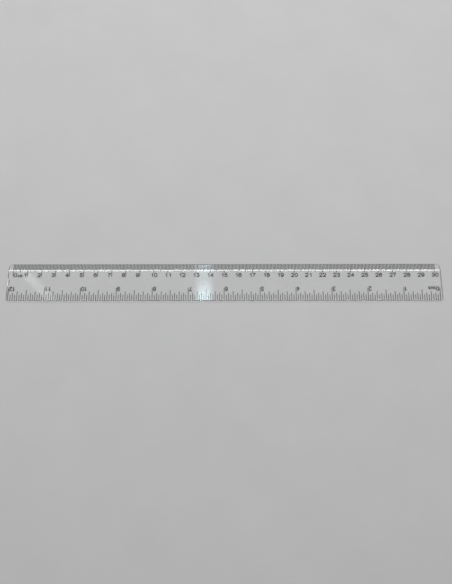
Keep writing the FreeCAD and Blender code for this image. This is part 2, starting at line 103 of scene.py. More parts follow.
class NodeSheet:
    """A node tree with short ways to add nodes and join them."""

    def __init__(self, tree: bpy.types.NodeTree) -> None:
        """Starts on an empty tree.

        Args:
            tree: The material's or group's node tree.
        """
        self.tree = tree
        self.tree.nodes.clear()
        self.column = 0

    def add(self, kind: str, **settings: object) -> Node:
        """Adds a node.

        Args:
            kind: The node's type name.
            settings: Attributes to set on the node.

        Returns:
            The new node.
        """
        node = self.tree.nodes.new(kind)
        node.location = (180 * self.column, 0)
        self.column += 1
        for name, value in settings.items():
            setattr(node, name, value)
        return node

    def join(self, output: Socket, *inputs: Socket) -> None:
        """Links one output to each of the inputs.

        Args:
            output: Where the value comes from.
            inputs: Where it goes.
        """
        for socket in inputs:
            self.tree.links.new(output, socket)

    def math(self, mix: Mix, first: Socket | float, second: Socket | float) -> Socket:
        """Combines two numbers.

        Args:
            mix: How they are combined.
            first: A socket or a plain number.
            second: A socket or a plain number.

        Returns:
            The socket with the result.
        """
        node = self.add("ShaderNodeMath", operation=mix.value)
        for socket, value in zip(node.inputs, (first, second)):
            if isinstance(value, Socket):
                self.join(value, socket)
            else:
                socket.default_value = value
        return node.outputs[0]

    def magnitude(self, value: Socket) -> Socket:
        """A number without its sign."""
        return self.math(Mix.MAXIMUM, value, self.math(Mix.MULTIPLY, value, -1.0))

    def remap(self, value: Socket, low: float, high: float, to_low: float = 0.0,
              to_high: float = 1.0) -> Socket:
        """Stretches a range of numbers onto another, held at its ends.

        Args:
            value: The number to stretch.
            low: Where the range begins.
            high: Where the range ends.
            to_low: What the beginning becomes.
            to_high: What the end becomes.

        Returns:
            The socket with the result.
        """
        node = self.add("ShaderNodeMapRange", clamp=True)
        self.join(value, node.inputs["Value"])
        node.inputs["From Min"].default_value = low
        node.inputs["From Max"].default_value = high
        node.inputs["To Min"].default_value = to_low
        node.inputs["To Max"].default_value = to_high
        return node.outputs["Result"]

    def blend(self, factor: Socket, first: Socket | Triple, second: Socket | Triple) -> Socket:
        """Blends between two colours.

        Args:
            factor: 0 for the first colour, 1 for the second.
            first: A socket or a linear colour.
            second: A socket or a linear colour.

        Returns:
            The socket with the colour.
        """
        node = self.add("ShaderNodeMix", data_type="RGBA")
        self.join(factor, node.inputs[0])
        ends = [socket for socket in node.inputs if socket.type == "RGBA"]
        for socket, colour in zip(ends, (first, second)):
            if isinstance(colour, Socket):
                self.join(colour, socket)
            else:
                socket.default_value = (*colour, 1.0)
        return next(socket for socket in node.outputs if socket.type == "RGBA")

    def place_group(self, group: bpy.types.NodeTree, place: Socket,
                    values: Sequence[float]) -> Socket:
        """Adds a node group that starts from a place.

        Args:
            group: The group, whose first input is the place.
            place: Where on the piece.
            values: The group's other inputs, in its own order.

        Returns:
            The group's first output.
        """
        node = self.add("ShaderNodeGroup", node_tree=group)
        self.join(place, node.inputs[0])
        for socket, value in zip(node.inputs[1:], values):
            socket.default_value = value
        return node.outputs[0]


class GroupSocket(NamedTuple):
    """A socket on the outside of a node group."""

    name: str
    kind: str
    value: float | None = None


NUMBER = "NodeSocketFloat"
VECTOR = "NodeSocketVector"


def new_group(
    name: str, inputs: Sequence[GroupSocket], outputs: Sequence[GroupSocket]
) -> tuple[bpy.types.NodeTree, NodeSheet, Node, Node]:
    """Makes an empty shader node group with named sockets.

    Args:
        name: What the group is called.
        inputs: Its input sockets.
        outputs: Its output sockets.

    Returns:
        The group, its sheet, its input node and its output node.
    """
    group = bpy.data.node_groups.new(name, "ShaderNodeTree")
    for in_out, sockets in (("INPUT", inputs), ("OUTPUT", outputs)):
        for item in sockets:
            socket = group.interface.new_socket(
                name=item.name, in_out=in_out, socket_type=item.kind
            )
            if item.value is not None:
                socket.default_value = item.value
    sheet = NodeSheet(group)
    return group, sheet, sheet.add("NodeGroupInput"), sheet.add("NodeGroupOutput")


# ---------------------------------------------------------------- shared effects


def make_mottle_group() -> bpy.types.NodeTree:
    """Makes the soft uneven cloud that every finish has, at a chosen size.

    Returns:
        A group that turns a place and a size into a number from 0 to 1.
    """
    group, sheet, given, result = new_group(
        "mottle",
        (GroupSocket("Place", VECTOR), GroupSocket("Per Metre", NUMBER, 500.0),
         GroupSocket("Detail", NUMBER, 4.0)),
        (GroupSocket("Cloud", NUMBER),),
    )
    noise = sheet.add("ShaderNodeTexNoise")
    sheet.join(given.outputs["Place"], noise.inputs["Vector"])
    sheet.join(given.outputs["Per Metre"], noise.inputs["Scale"])
    sheet.join(given.outputs["Detail"], noise.inputs["Detail"])
    noise.inputs["Roughness"].default_value = CLOUD_ROUGHNESS
    sheet.join(sheet.remap(noise.outputs[0], *CLOUD_RANGE), result.inputs["Cloud"])
    return group


def make_scratch_group() -> bpy.types.NodeTree:
    """Makes hairline scratches that run roughly one way and fade in and out.

    Returns:
        A group that turns a place, a heading and a spacing into a mask of thin lines.
    """
    group, sheet, given, result = new_group(
        "hairline_scratches",
        (GroupSocket("Place", VECTOR), GroupSocket("Heading", NUMBER, 0.3),
         GroupSocket("Per Metre", NUMBER, 150.0), GroupSocket("Width", NUMBER, 0.012)),
        (GroupSocket("Lines", NUMBER),),
    )
    turn = sheet.add("ShaderNodeVectorRotate", rotation_type="Z_AXIS")
    sheet.join(given.outputs["Place"], turn.inputs["Vector"])
    sheet.join(given.outputs["Heading"], turn.inputs["Angle"])
    stretch = sheet.add("ShaderNodeMapping")
    stretch.inputs["Scale"].default_value = SCRATCH_STRETCH
    sheet.join(turn.outputs["Vector"], stretch.inputs["Vector"])
    cells = sheet.add("ShaderNodeTexVoronoi", feature="DISTANCE_TO_EDGE")
    sheet.join(stretch.outputs["Vector"], cells.inputs["Vector"])
    sheet.join(given.outputs["Per Metre"], cells.inputs["Scale"])
    width = sheet.add("ShaderNodeMapRange", clamp=True)
    sheet.join(cells.outputs["Distance"], width.inputs["Value"])
    sheet.join(given.outputs["Width"], width.inputs["From Max"])
    width.inputs["To Min"].default_value = 1.0
    width.inputs["To Max"].default_value = 0.0
    patches = sheet.add("ShaderNodeTexNoise")
    sheet.join(given.outputs["Place"], patches.inputs["Vector"])
    patches.inputs["Scale"].default_value = SCRATCH_PATCHES_PER_METRE
    shown = sheet.remap(patches.outputs[0], *SCRATCH_PATCH_RANGE)
    lines = sheet.math(Mix.MULTIPLY, width.outputs["Result"], shown)
    sheet.join(lines, result.inputs["Lines"])
    return group


class Cloud(NamedTuple):
    """How fine a mottle is: clouds to a metre, and how many finer layers they have."""

    per_metre: float
    detail: float


class Hairlines(NamedTuple):
    """How scratches run: radians from X, cells to a metre, and width as a share of a cell."""

    heading: float
    per_metre: float
    width: float


@dataclass
class SharedEffects:
    """The node groups that more than one finish uses, each made once."""

    mottle: bpy.types.NodeTree = field(default_factory=make_mottle_group)
    scratches: bpy.types.NodeTree = field(default_factory=make_scratch_group)

    def add_mottle(self, sheet: NodeSheet, place: Socket, cloud: Cloud) -> Socket:
        """Places the mottle in a material, as a number from 0 to 1."""
        return sheet.place_group(self.mottle, place, cloud)

    def add_scratches(self, sheet: NodeSheet, place: Socket, hairlines: Hairlines) -> Socket:
        """Places the hairline scratches in a material, as a mask from 0 to 1."""
        return sheet.place_group(self.scratches, place, hairlines)


# ---------------------------------------------------------------- finishes


def start_material(name: str) -> tuple[bpy.types.Material, NodeSheet, Node, Socket]:
    """Makes a material with one Principled shader and the piece's own coordinates.

    Args:
        name: What the material is called.

    Returns:
        The material, its nodes, the shader and the coordinates.
    """
    material = bpy.data.materials.new(name)
    material.use_nodes = True
    sheet = NodeSheet(material.node_tree)
    shader = sheet.add("ShaderNodeBsdfPrincipled")
    output = sheet.add("ShaderNodeOutputMaterial")
    sheet.join(shader.outputs["BSDF"], output.inputs["Surface"])
    place = sheet.add("ShaderNodeTexCoord").outputs["Object"]
    return material, sheet, shader, place


def add_bump(sheet: NodeSheet, shader: Node, height: Socket, depth: float) -> None:
    """Raises the surface a little by a height, through the shader's normal.

    Args:
        sheet: The material's nodes.
        shader: The shader that takes the normal.
        height: The height, from 0 to 1.
        depth: How high 1 stands, in metres.
    """
    bump = sheet.add("ShaderNodeBump")
    bump.inputs["Strength"].default_value = 1.0
    bump.inputs["Distance"].default_value = depth
    sheet.join(height, bump.inputs["Height"])
    sheet.join(bump.outputs["Normal"], shader.inputs["Normal"])


@dataclass(frozen=True)
class ClearPlastic:
    """Colourless moulded plastic, polished by the mould and scuffed by handling; its roundings
    carry painted shade.
    """

    tint: Triple = (0.998, 0.999, 1.0)
    hazed_tint: Triple = (0.98, 0.983, 0.987)
    # Painted shade: the base colour of the roundings, darkened to stand in for the light that the
    # rounded edges bend away.
    edge_tint: Triple = (0.20, 0.20, 0.21)
    let_through: Triple = (0.998, 0.998, 0.999)
    edge_shadow: float = 0.3
    ior: float = 1.53
    polish: float = 0.015
    haze: float = 0.05
    scuff: float = 0.22
    scar_roughness: float = 0.45
    wave_depth: float = 0.004 * MM
    scratch_cut: float = 0.06
    hazing: Cloud = Cloud(70.0, 3.0)
    waves: Cloud = Cloud(45.0, 1.0)
    lengthwise: Hairlines = Hairlines(0.12, 420.0, 0.02)
    crosswise: Hairlines = Hairlines(1.1, 300.0, 0.016)
    # How flat a surface lies, from 0 for upright to 1 for level, where each mask fades.
    lying_flatness: tuple[float, float] = (0.55, 0.93)
    upright_flatness: tuple[float, float] = (0.05, 0.25)
    # Where the mask of the gate fades, as shares of the blade's length and of its width.
    scar_reach: tuple[float, float] = (0.0024, 0.0030)
    scar_half_width: tuple[float, float] = (0.105, 0.115)

    def make(self, effects: SharedEffects) -> bpy.types.Material:
        """Makes the material.

        Args:
            effects: The shared node groups.

        Returns:
            The finished material.
        """
        material, sheet, shader, place = start_material("clear_plastic")
        shader.inputs["Transmission Weight"].default_value = 1.0
        shader.inputs["Metallic"].default_value = 0.0
        shader.inputs["IOR"].default_value = self.ior

        haze = effects.add_mottle(sheet, place, self.hazing)
        lengthwise = effects.add_scratches(sheet, place, self.lengthwise)
        crosswise = effects.add_scratches(sheet, place, self.crosswise)
        scuffs = sheet.math(Mix.MAXIMUM, lengthwise, crosswise)

        scar = self.add_scar_mask(sheet)
        flatness = self.add_flatness(sheet)
        lying = sheet.math(Mix.MAXIMUM, sheet.remap(flatness, *self.lying_flatness), scar)
        upright = sheet.remap(flatness, *self.upright_flatness, 1.0, 0.0)
        plain = sheet.math(Mix.MAXIMUM, lying, upright)
        body = sheet.blend(haze, self.tint, self.hazed_tint)
        # The roundings between the faces and the upright walls take the painted edge shade as
        # their base colour.
        sheet.join(sheet.blend(plain, self.edge_tint, body), shader.inputs["Base Color"])
        hazed = sheet.remap(haze, 0.0, 1.0, self.polish, self.haze)
        scuffed = sheet.math(Mix.MULTIPLY, scuffs, self.scuff)
        moulded = sheet.math(Mix.ADD, hazed, scuffed)
        broken = sheet.math(Mix.MULTIPLY, scar, self.scar_roughness)
        sheet.join(sheet.math(Mix.MAXIMUM, moulded, broken), shader.inputs["Roughness"])

        waves = effects.add_mottle(sheet, place, self.waves)
        cut = sheet.math(Mix.MULTIPLY, scuffs, self.scratch_cut)
        add_bump(sheet, shader, sheet.math(Mix.SUBTRACT, waves, cut), self.wave_depth)
        self.let_lamps_through(sheet, shader, lying)
        return material

    def add_flatness(self, sheet: NodeSheet) -> Socket:
        """Tells the faces, the roundings and the upright walls apart.

        Args:
            sheet: The material's nodes.

        Returns:
            1 where the surface lies flat, falling to 0 where it stands upright.
        """
        way = sheet.add("ShaderNodeSeparateXYZ")
        sheet.join(sheet.add("ShaderNodeTexCoord").outputs["Normal"], way.inputs[0])
        return sheet.magnitude(way.outputs["Z"])

    def add_scar_mask(self, sheet: NodeSheet) -> Socket:
        """Finds the stub of the gate and its notch, where the plastic is rough and pale.

        Args:
            sheet: The material's nodes.

        Returns:
            1 in the notch in the middle of the left end, 0 elsewhere.
        """
        parts = sheet.add("ShaderNodeSeparateXYZ")
        sheet.join(sheet.add("ShaderNodeTexCoord").outputs["Generated"], parts.inputs[0])
        aside = sheet.magnitude(sheet.math(Mix.SUBTRACT, parts.outputs["Y"], 0.5))
        return sheet.math(Mix.MULTIPLY,
                          sheet.remap(parts.outputs["X"], *self.scar_reach, 1.0, 0.0),
                          sheet.remap(aside, *self.scar_half_width, 1.0, 0.0))

    def let_lamps_through(self, sheet: NodeSheet, shader: Node, lying: Socket) -> None:
        """Lights what lies under the faces as evenly as thin clear plastic does.

        The walls and the roundings hold back a share of the light, because they bend it
        away, and so the blade has a faint shadow just outside it.

        Args:
            sheet: The material's nodes.
            shader: The shader of the plastic itself.
            lying: The mask of the faces.
        """
        path = sheet.add("ShaderNodeLightPath")
        unseen = sheet.math(Mix.MAXIMUM, path.outputs["Is Shadow Ray"],
                            path.outputs["Is Diffuse Ray"])
        share = sheet.remap(lying, 0.0, 1.0, 1.0 - self.edge_shadow, 1.0)
        straight = sheet.math(Mix.MULTIPLY, unseen, share)
        clear = sheet.add("ShaderNodeBsdfTransparent")
        clear.inputs["Color"].default_value = (*self.let_through, 1.0)
        either = sheet.add("ShaderNodeMixShader")
        sheet.join(straight, either.inputs[0])
        sheet.join(shader.outputs["BSDF"], either.inputs[1])
        sheet.join(clear.outputs["BSDF"], either.inputs[2])
        sheet.join(either.outputs["Shader"], sheet.tree.nodes["Material Output"].inputs["Surface"])


@dataclass(frozen=True)
class BlackFoil:
    """Black stamping foil: dense, a little patchy, with a soft satin face."""

    dense: Triple = (0.010, 0.010, 0.011)
    thin: Triple = (0.040, 0.040, 0.043)
    smooth: float = 0.38
    dull: float = 0.62
    grain_depth: float = 0.004 * MM
    grain: Cloud = Cloud(900.0, 4.0)
    drift: Cloud = Cloud(60.0, 2.0)
    rubs: Hairlines = Hairlines(0.5, 900.0, 0.05)

    def make(self, effects: SharedEffects) -> bpy.types.Material:
        """Makes the material.

        Args:
            effects: The shared node groups.

        Returns:
            The finished material.
        """
        material, sheet, shader, place = start_material("black_foil")
        patches = effects.add_mottle(sheet, place, self.grain)
        drift = effects.add_mottle(sheet, place, self.drift)
        patchy = sheet.math(Mix.MULTIPLY, patches, drift)
        sheet.join(sheet.blend(patchy, self.dense, self.thin), shader.inputs["Base Color"])
        rubs = effects.add_scratches(sheet, place, self.rubs)
        dulled = sheet.math(Mix.MAXIMUM, patches, rubs)
        sheet.join(sheet.remap(dulled, 0.0, 1.0, self.smooth, self.dull),
                   shader.inputs["Roughness"])
        add_bump(sheet, shader, patches, self.grain_depth)
        return material


@dataclass(frozen=True)
class PaleCard:
    """Matt pale grey card, with a faint fibre cloud."""

    light: Triple = (0.741, 0.733, 0.729)
    dark: Triple = (0.711, 0.703, 0.701)
    roughness: float = 0.9
    fibre_depth: float = 0.02 * MM
    tone: Cloud = Cloud(25.0, 5.0)
    fibres: Cloud = Cloud(2500.0, 3.0)

    def make(self, effects: SharedEffects) -> bpy.types.Material:
        """Makes the material.

        Args:
            effects: The shared node groups.

        Returns:
            The finished material.
        """
        material, sheet, shader, place = start_material("pale_card")
        cloud = effects.add_mottle(sheet, place, self.tone)
        sheet.join(sheet.blend(cloud, self.dark, self.light), shader.inputs["Base Color"])
        shader.inputs["Roughness"].default_value = self.roughness
        fibres = effects.add_mottle(sheet, place, self.fibres)
        add_bump(sheet, shader, fibres, self.fibre_depth)
        return material


@dataclass(frozen=True)
class Finishes:
    """Every material in the scene."""

    plastic: bpy.types.Material
    foil: bpy.types.Material
    card: bpy.types.Material

    @classmethod
    def make(cls) -> "Finishes":
        """Makes the materials from one set of shared effects.

        Returns:
            Every material.
        """
        effects = SharedEffects()
        return cls(ClearPlastic().make(effects), BlackFoil().make(effects),
                   PaleCard().make(effects))


# ---------------------------------------------------------------- mesh helpers


def add_object(name: str, shape: bmesh.types.BMesh) -> bpy.types.Object:
    """Makes an object of a finished shape and puts it in the scene.

    Args:
        name: The piece's name.
        shape: Its shape in the shared frame, which is used up.

    Returns:
        The new object.
    """
    mesh = bpy.data.meshes.new(name)
    shape.to_mesh(mesh)
    shape.free()
    piece = bpy.data.objects.new(name, mesh)
    bpy.context.scene.collection.objects.link(piece)
    return piece


def apply_modifiers(piece: bpy.types.Object) -> None:
    """Replaces a piece's mesh by what its modifiers make of it.

    Args:
        piece: The piece, left with no modifiers.
    """
    graph = bpy.context.evaluated_depsgraph_get()
    shaped = bpy.data.meshes.new_from_object(piece.evaluated_get(graph))
    piece.modifiers.clear()
    piece.data = shaped


def round_steps(begin: float, end: float, steps: int) -> list[float]:
    """Angles from one to another, both included.

    Args:
        begin: The first angle, in degrees.
        end: The last angle, in degrees.
        steps: How many equal steps lie between them.

    Returns:
        The angles in radians.
    """
    return [math.radians(begin + (end - begin) * k / steps) for k in range(steps + 1)]


# ---------------------------------------------------------------- blade


class RimPoint(NamedTuple):
    """A point of the blade's outline seen from above, and the way out from it."""

    x: float
    y: float
    out_x: float
    out_y: float


@dataclass
class Blade:
    """The clear moulding: bevel, rounded crease, softened edges and gate vestige."""

    length: float
    width: float
    thickness: float
    thin_edge: float = 0.95 * MM
    bevel_width: float = 5.0 * MM
    crease_land: float = 0.85 * MM
    crease_radius: float = 1.2 * MM
    crease_steps: int = 4
    thin_corner: float = 2.0 * MM
    square_corner: float = 0.8 * MM
    corner_steps: int = 10
    lower_round: float = 0.30 * MM
    upper_round: float = 0.32 * MM
    thin_edge_round: float = 0.42 * MM
    edge_steps: int = 4
    notch_width: float = 5.0 * MM
    notch_depth: float = 0.7 * MM
    notch_corner: float = 0.35 * MM
    notch_mouth: float = 0.2 * MM
    stub_width: float = 2.4 * MM
    stub_height: float = 1.1 * MM
    stub_length: float = 0.5 * MM
    stub_root: float = 0.2 * MM
    stub_raggedness: float = 0.05 * MM
    stub_cuts: int = 7
    stub_seed: int = 7
    sharp_angle: float = 35.0
    flat_face_weight: int = 100

    @classmethod
    def from_frame(cls) -> "Blade":
        """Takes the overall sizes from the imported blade."""
        low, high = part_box("blade")
        return cls(high[0] - low[0], high[1] - low[1], high[2] - low[2])

    @property
    def slope(self) -> float:
        """How far the bevel falls for each metre across it."""
        return (self.thickness - self.thin_edge) / self.bevel_width

    @property
    def crease_y(self) -> float:
        """Where the flat top and the bevel would meet in a sharp line."""
        return self.width / 2 - self.bevel_width

    def crease_profile(self) -> list[tuple[float, float]]:
        """The softened crease: a narrow land between two small roundings.

        Returns:
            Its points across the blade, as Y and height, from the flat top to the bevel.
        """
        steep = math.atan(self.slope)
        half = steep / 2
        radius, land = self.crease_radius, self.crease_land
        drop = radius * (1 - math.cos(steep)) + land * math.sin(half)
        start = (self.crease_y + drop / self.slope
                 - radius * math.sin(steep) - land * math.cos(half))
        points: list[tuple[float, float]] = []
        for before in (True, False):
            turn = 0.0 if before else half
            for k in range(self.crease_steps + 1):
                angle = turn + half * k / self.crease_steps
                y = start + radius * math.sin(angle)
                z = self.thickness - radius * (1 - math.cos(angle))
                if not before:
                    y += land * math.cos(half)
                    z -= land * math.sin(half)
                points.append((y, z))
        return points

    def top_height(self, y: float) -> float:
        """The height of the upper surface.

        Args:
            y: Where across the blade.

        Returns:
            The height above the underside.
        """
        profile = self.crease_profile()
        if y <= profile[0][0]:
            return self.thickness
        for (low_y, low_z), (high_y, high_z) in zip(profile, profile[1:]):
            if y <= high_y:
                return low_z + (high_z - low_z) * (y - low_y) / (high_y - low_y)
        return self.thickness - (y - self.crease_y) * self.slope

    def upper_rounding(self, y: float) -> float:
        """The radius of the upper edge, which is larger along the thin side.

        Args:
            y: Where across the blade.

        Returns:
            The radius there.
        """
        share = (y - self.crease_y) / (self.width / 2 - self.crease_y)
        share = min(max(share, 0.0), 1.0)
        return self.upper_round + share * (self.thin_edge_round - self.upper_round)

    def corner(self, x: float, y: float, radius: float, begin: float, end: float,
               hollow: bool = False) -> list[RimPoint]:
        """A rounded corner of the outline.

        Args:
            x: The X of its centre.
            y: The Y of its centre.
            radius: Its radius.
            begin: The angle it starts at, in degrees.
            end: The angle it ends at, in degrees.
            hollow: True where the plastic lies outside the arc.

        Returns:
            The points, anticlockwise round the blade.
        """
        way = -1.0 if hollow else 1.0
        return [
            RimPoint(x + radius * math.cos(a), y + radius * math.sin(a),
                     way * math.cos(a), way * math.sin(a))
            for a in round_steps(begin, end, self.corner_steps)
        ]

    def outline(self) -> list[RimPoint]:
        """The outline seen from above.

        Returns:
            Its points, anticlockwise from the inch edge's right corner.
        """
        half = self.length / 2
        edge = self.width / 2
        square, thin = self.square_corner, self.thin_corner
        notch = self.notch_width / 2
        floor_x = -half + self.notch_depth
        mouth, inner = self.notch_mouth, self.notch_corner
        crease = [y for y, _ in self.crease_profile()]
        rim = self.corner(half - square, -edge + square, square, 270, 360)
        rim += [RimPoint(half, y, 1, 0) for y in crease]
        rim += self.corner(half - thin, edge - thin, thin, 0, 90)
        rim += self.corner(-half + thin, edge - thin, thin, 90, 180)
        rim += [RimPoint(-half, y, -1, 0) for y in reversed(crease)]
        rim += self.corner(-half + mouth, notch + mouth, mouth, 180, 270)
        rim += self.corner(floor_x - inner, notch - inner, inner, 90, 0, hollow=True)
        rim += self.corner(floor_x - inner, -notch + inner, inner, 0, -90, hollow=True)
        rim += self.corner(-half + mouth, -notch - mouth, mouth, 90, 180)
        rim += self.corner(-half + square, -edge + square, square, 180, 270)
        return rim

    def build(self) -> bpy.types.Object:
        """Builds the blade as one closed mesh.

        Returns:
            The blade, without a material.
        """
        rim = self.outline()
        shape = bmesh.new()
        rings: list[list[bmesh.types.BMVert]] = []
        for angle in round_steps(0, 90, self.edge_steps):
            inset = self.lower_round * (1 - math.sin(angle))
            rise = UNDERSIDE_LIFT + self.lower_round * (1 - math.cos(angle))
            rings.append([shape.verts.new((p.x - p.out_x * inset, p.y - p.out_y * inset, rise))
                          for p in rim])
        for angle in round_steps(90, 0, self.edge_steps):
            ring: list[bmesh.types.BMVert] = []
            for p in rim:
                radius = self.upper_rounding(p.y)
                inset = radius * (1 - math.sin(angle))
                y = p.y - p.out_y * inset
                drop = radius * (1 - math.cos(angle))
                ring.append(shape.verts.new(
                    (p.x - p.out_x * inset, y, self.top_height(y) - drop)))
            rings.append(ring)
        for lower, upper in zip(rings, rings[1:]):
            for k in range(len(rim)):
                after = (k + 1) % len(rim)
                shape.faces.new((lower[k], lower[after], upper[after], upper[k]))
        shape.faces.new(list(reversed(rings[0])))
        self.close_top(shape, rings[-1])
        bmesh.ops.remove_doubles(shape, verts=shape.verts, dist=SAME_POINT)
        bmesh.ops.recalc_face_normals(shape, faces=shape.faces)
        blade = add_object("clear_blade", shape)
        self.add_gate_stub(blade)
        self.settle_normals(blade)
        return blade

    def close_top(self, shape: bmesh.types.BMesh, ring: list[bmesh.types.BMVert]) -> None:
        """Closes the top with a flat part, the rows of the crease and the bevel.

        Args:
            shape: The mesh being built.
            ring: The inner ring of the top edge.
        """
        cap = shape.faces.new(ring)
        for vert in cap.verts:
            vert.co.z = self.thickness
        pieces = [cap]
        for y, _ in self.crease_profile():
            edges = {e for f in pieces for e in f.edges}
            verts = {v for f in pieces for v in f.verts}
            cut = bmesh.ops.bisect_plane(
                shape, geom=[*verts, *edges, *pieces], dist=ON_THE_CUT,
                plane_co=(0, y, 0), plane_no=(0, 1, 0))
            pieces = [g for g in cut["geom"] if isinstance(g, bmesh.types.BMFace)]
        for vert in {v for f in pieces for v in f.verts}:
            vert.co.z = self.top_height(vert.co.y)

    def add_gate_stub(self, blade: bpy.types.Object) -> None:
        """Joins on the stub that the moulding gate left, a little ragged where it broke.

        Args:
            blade: The blade, which becomes one mesh with its stub.
        """
        shape = bmesh.new()
        bmesh.ops.create_cube(shape, size=1.0)
        bmesh.ops.subdivide_edges(shape, edges=shape.edges, cuts=self.stub_cuts,
                                  use_grid_fill=True)
        outer_face = min(vert.co.x for vert in shape.verts)
        chance = random.Random(self.stub_seed)
        reach = self.stub_length + self.stub_root
        centre = Vector((-self.length / 2 + self.notch_depth + self.stub_root - reach / 2,
                         0.0, self.thickness / 2))
        for vert in shape.verts:
            broken = math.isclose(vert.co.x, outer_face, abs_tol=SAME_POINT)
            vert.co = Vector((vert.co.x * reach, vert.co.y * self.stub_width,
                              vert.co.z * self.stub_height)) + centre
            if broken:
                vert.co.x += chance.uniform(0.0, self.stub_raggedness)
        stub = add_object("gate_stub", shape)
        join = blade.modifiers.new("stub", "BOOLEAN")
        join.operation = "UNION"
        join.solver = "EXACT"
        join.object = stub
        apply_modifiers(blade)
        bpy.data.objects.remove(stub)

    def settle_normals(self, blade: bpy.types.Object) -> None:
        """Keeps flat faces flat and lets the rounded edges shade smoothly.

        Args:
            blade: The blade.
        """
        for polygon in blade.data.polygons:
            polygon.use_smooth = True
        blade.data.set_sharp_from_angle(angle=math.radians(self.sharp_angle))
        weigh = blade.modifiers.new("normals", "WEIGHTED_NORMAL")
        weigh.mode = "FACE_AREA"
        weigh.weight = self.flat_face_weight
        weigh.keep_sharp = True
        apply_modifiers(blade)

    def dress(self, blade: bpy.types.Object, finishes: Finishes) -> None:
        """Gives the blade its finish and its place in the model.

        Args:
            blade: The blade.
            finishes: Every material.
        """
        blade.data.materials.clear()
        blade.data.materials.append(finishes.plastic)
        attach(blade, ROOT_BODY)
        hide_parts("blade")


# ---------------------------------------------------------------- lettering


class Pen:
    """Draws flat strokes with round ends and merges them into one outline."""

    # How finely round parts are drawn.
    CAP_STEPS = 10
    FEWEST_ARC_STEPS = 6
    DEGREES_A_STEP = 9

    # Merging keeps only what lies inside a stroke, and joins points closer than this.
    INSIDE_ONLY = 1
    MERGE_DISTANCE = 1e-9

    def __init__(self, stroke: float) -> None:
        """Takes up the pen.

        Args:
            stroke: How wide its strokes are.
        """
        self.half = stroke / 2
        self.outlines: list[list[Vector]] = []

    def stroke(self, points: Sequence[Vector]) -> None:
        """Draws along a smooth run of points.

        Args:
            points: The middle of the stroke, with no sharp turn in it.
        """
        left: list[Vector] = []
        right: list[Vector] = []
        for k, point in enumerate(points):
            before = points[max(k - 1, 0)]
            after = points[min(k + 1, len(points) - 1)]
            way = (after - before).normalized()
            side = Vector((-way.y, way.x)) * self.half
            left.append(point + side)
            right.append(point - side)
        outline = right + self.cap(points[-1], points[-1] - points[-2])
        outline += list(reversed(left)) + self.cap(points[0], points[0] - points[1])
        self.outlines.append(outline)

    def cap(self, tip: Vector, way: Vector) -> list[Vector]:
        """The round end of a stroke, without the two points where it begins and ends.

        Args:
            tip: The last point of the stroke.
            way: The way the stroke was going.

        Returns:
            The points of the half circle.
        """
        heading = math.degrees(math.atan2(way.y, way.x))
        angles = round_steps(heading - 90, heading + 90, self.CAP_STEPS)[1:-1]
        return [tip + Vector((math.cos(a), math.sin(a))) * self.half for a in angles]

    def line(self, *points: tuple[float, float]) -> None:
        """Draws straight strokes from point to point.

        Args:
            points: Where each stroke ends and the next begins.
        """
        for begin, end in zip(points, points[1:]):
            self.stroke([Vector(begin), Vector(end)])

    def arc(self, x: float, y: float, wide: float, high: float, begin: float,
            end: float) -> None:
        """Draws part of an ellipse.

        Args:
            x: The X of its centre.
            y: The Y of its centre.
            wide: Half its width.
            high: Half its height.
            begin: The angle it starts at, in degrees.
            end: The angle it ends at, in degrees.
        """
        steps = max(self.FEWEST_ARC_STEPS, round(abs(end - begin) / self.DEGREES_A_STEP))
        self.stroke([
            Vector((x + wide * math.cos(a), y + high * math.sin(a)))
            for a in round_steps(begin, end, steps)
        ])

    def ring(self, x: float, y: float, wide: float, high: float) -> None:
        """Draws a whole ellipse, as two halves that meet.

        Args:
            x: The X of its centre.
            y: The Y of its centre.
            wide: Half its width.
            high: Half its height.
        """
        self.arc(x, y, wide, high, -90, 90)
        self.arc(x, y, wide, high, 90, 270)

    def dot(self, x: float, y: float) -> None:
        """Draws a round dot.

        Args:
            x: The X of its centre.
            y: The Y of its centre.
        """
        self.outlines.append([
            Vector((x + self.half * math.cos(a), y + self.half * math.sin(a)))
            for a in round_steps(0, 360, 2 * self.CAP_STEPS)[:-1]
        ])

    def merged(self) -> tuple[list[Vector], list[list[int]]]:
        """All strokes as one flat shape.

        Returns:
            Its points and its faces.
        """
        points = [p for outline in self.outlines for p in outline]
        faces: list[list[int]] = []
        first = 0
        for outline in self.outlines:
            faces.append(list(range(first, first + len(outline))))
            first += len(outline)
        verts, _, made, _, _, sources = geometry.delaunay_2d_cdt(
            points, [], faces, self.INSIDE_ONLY, self.MERGE_DISTANCE)
        return verts, [face for face, source in zip(made, sources) if source]


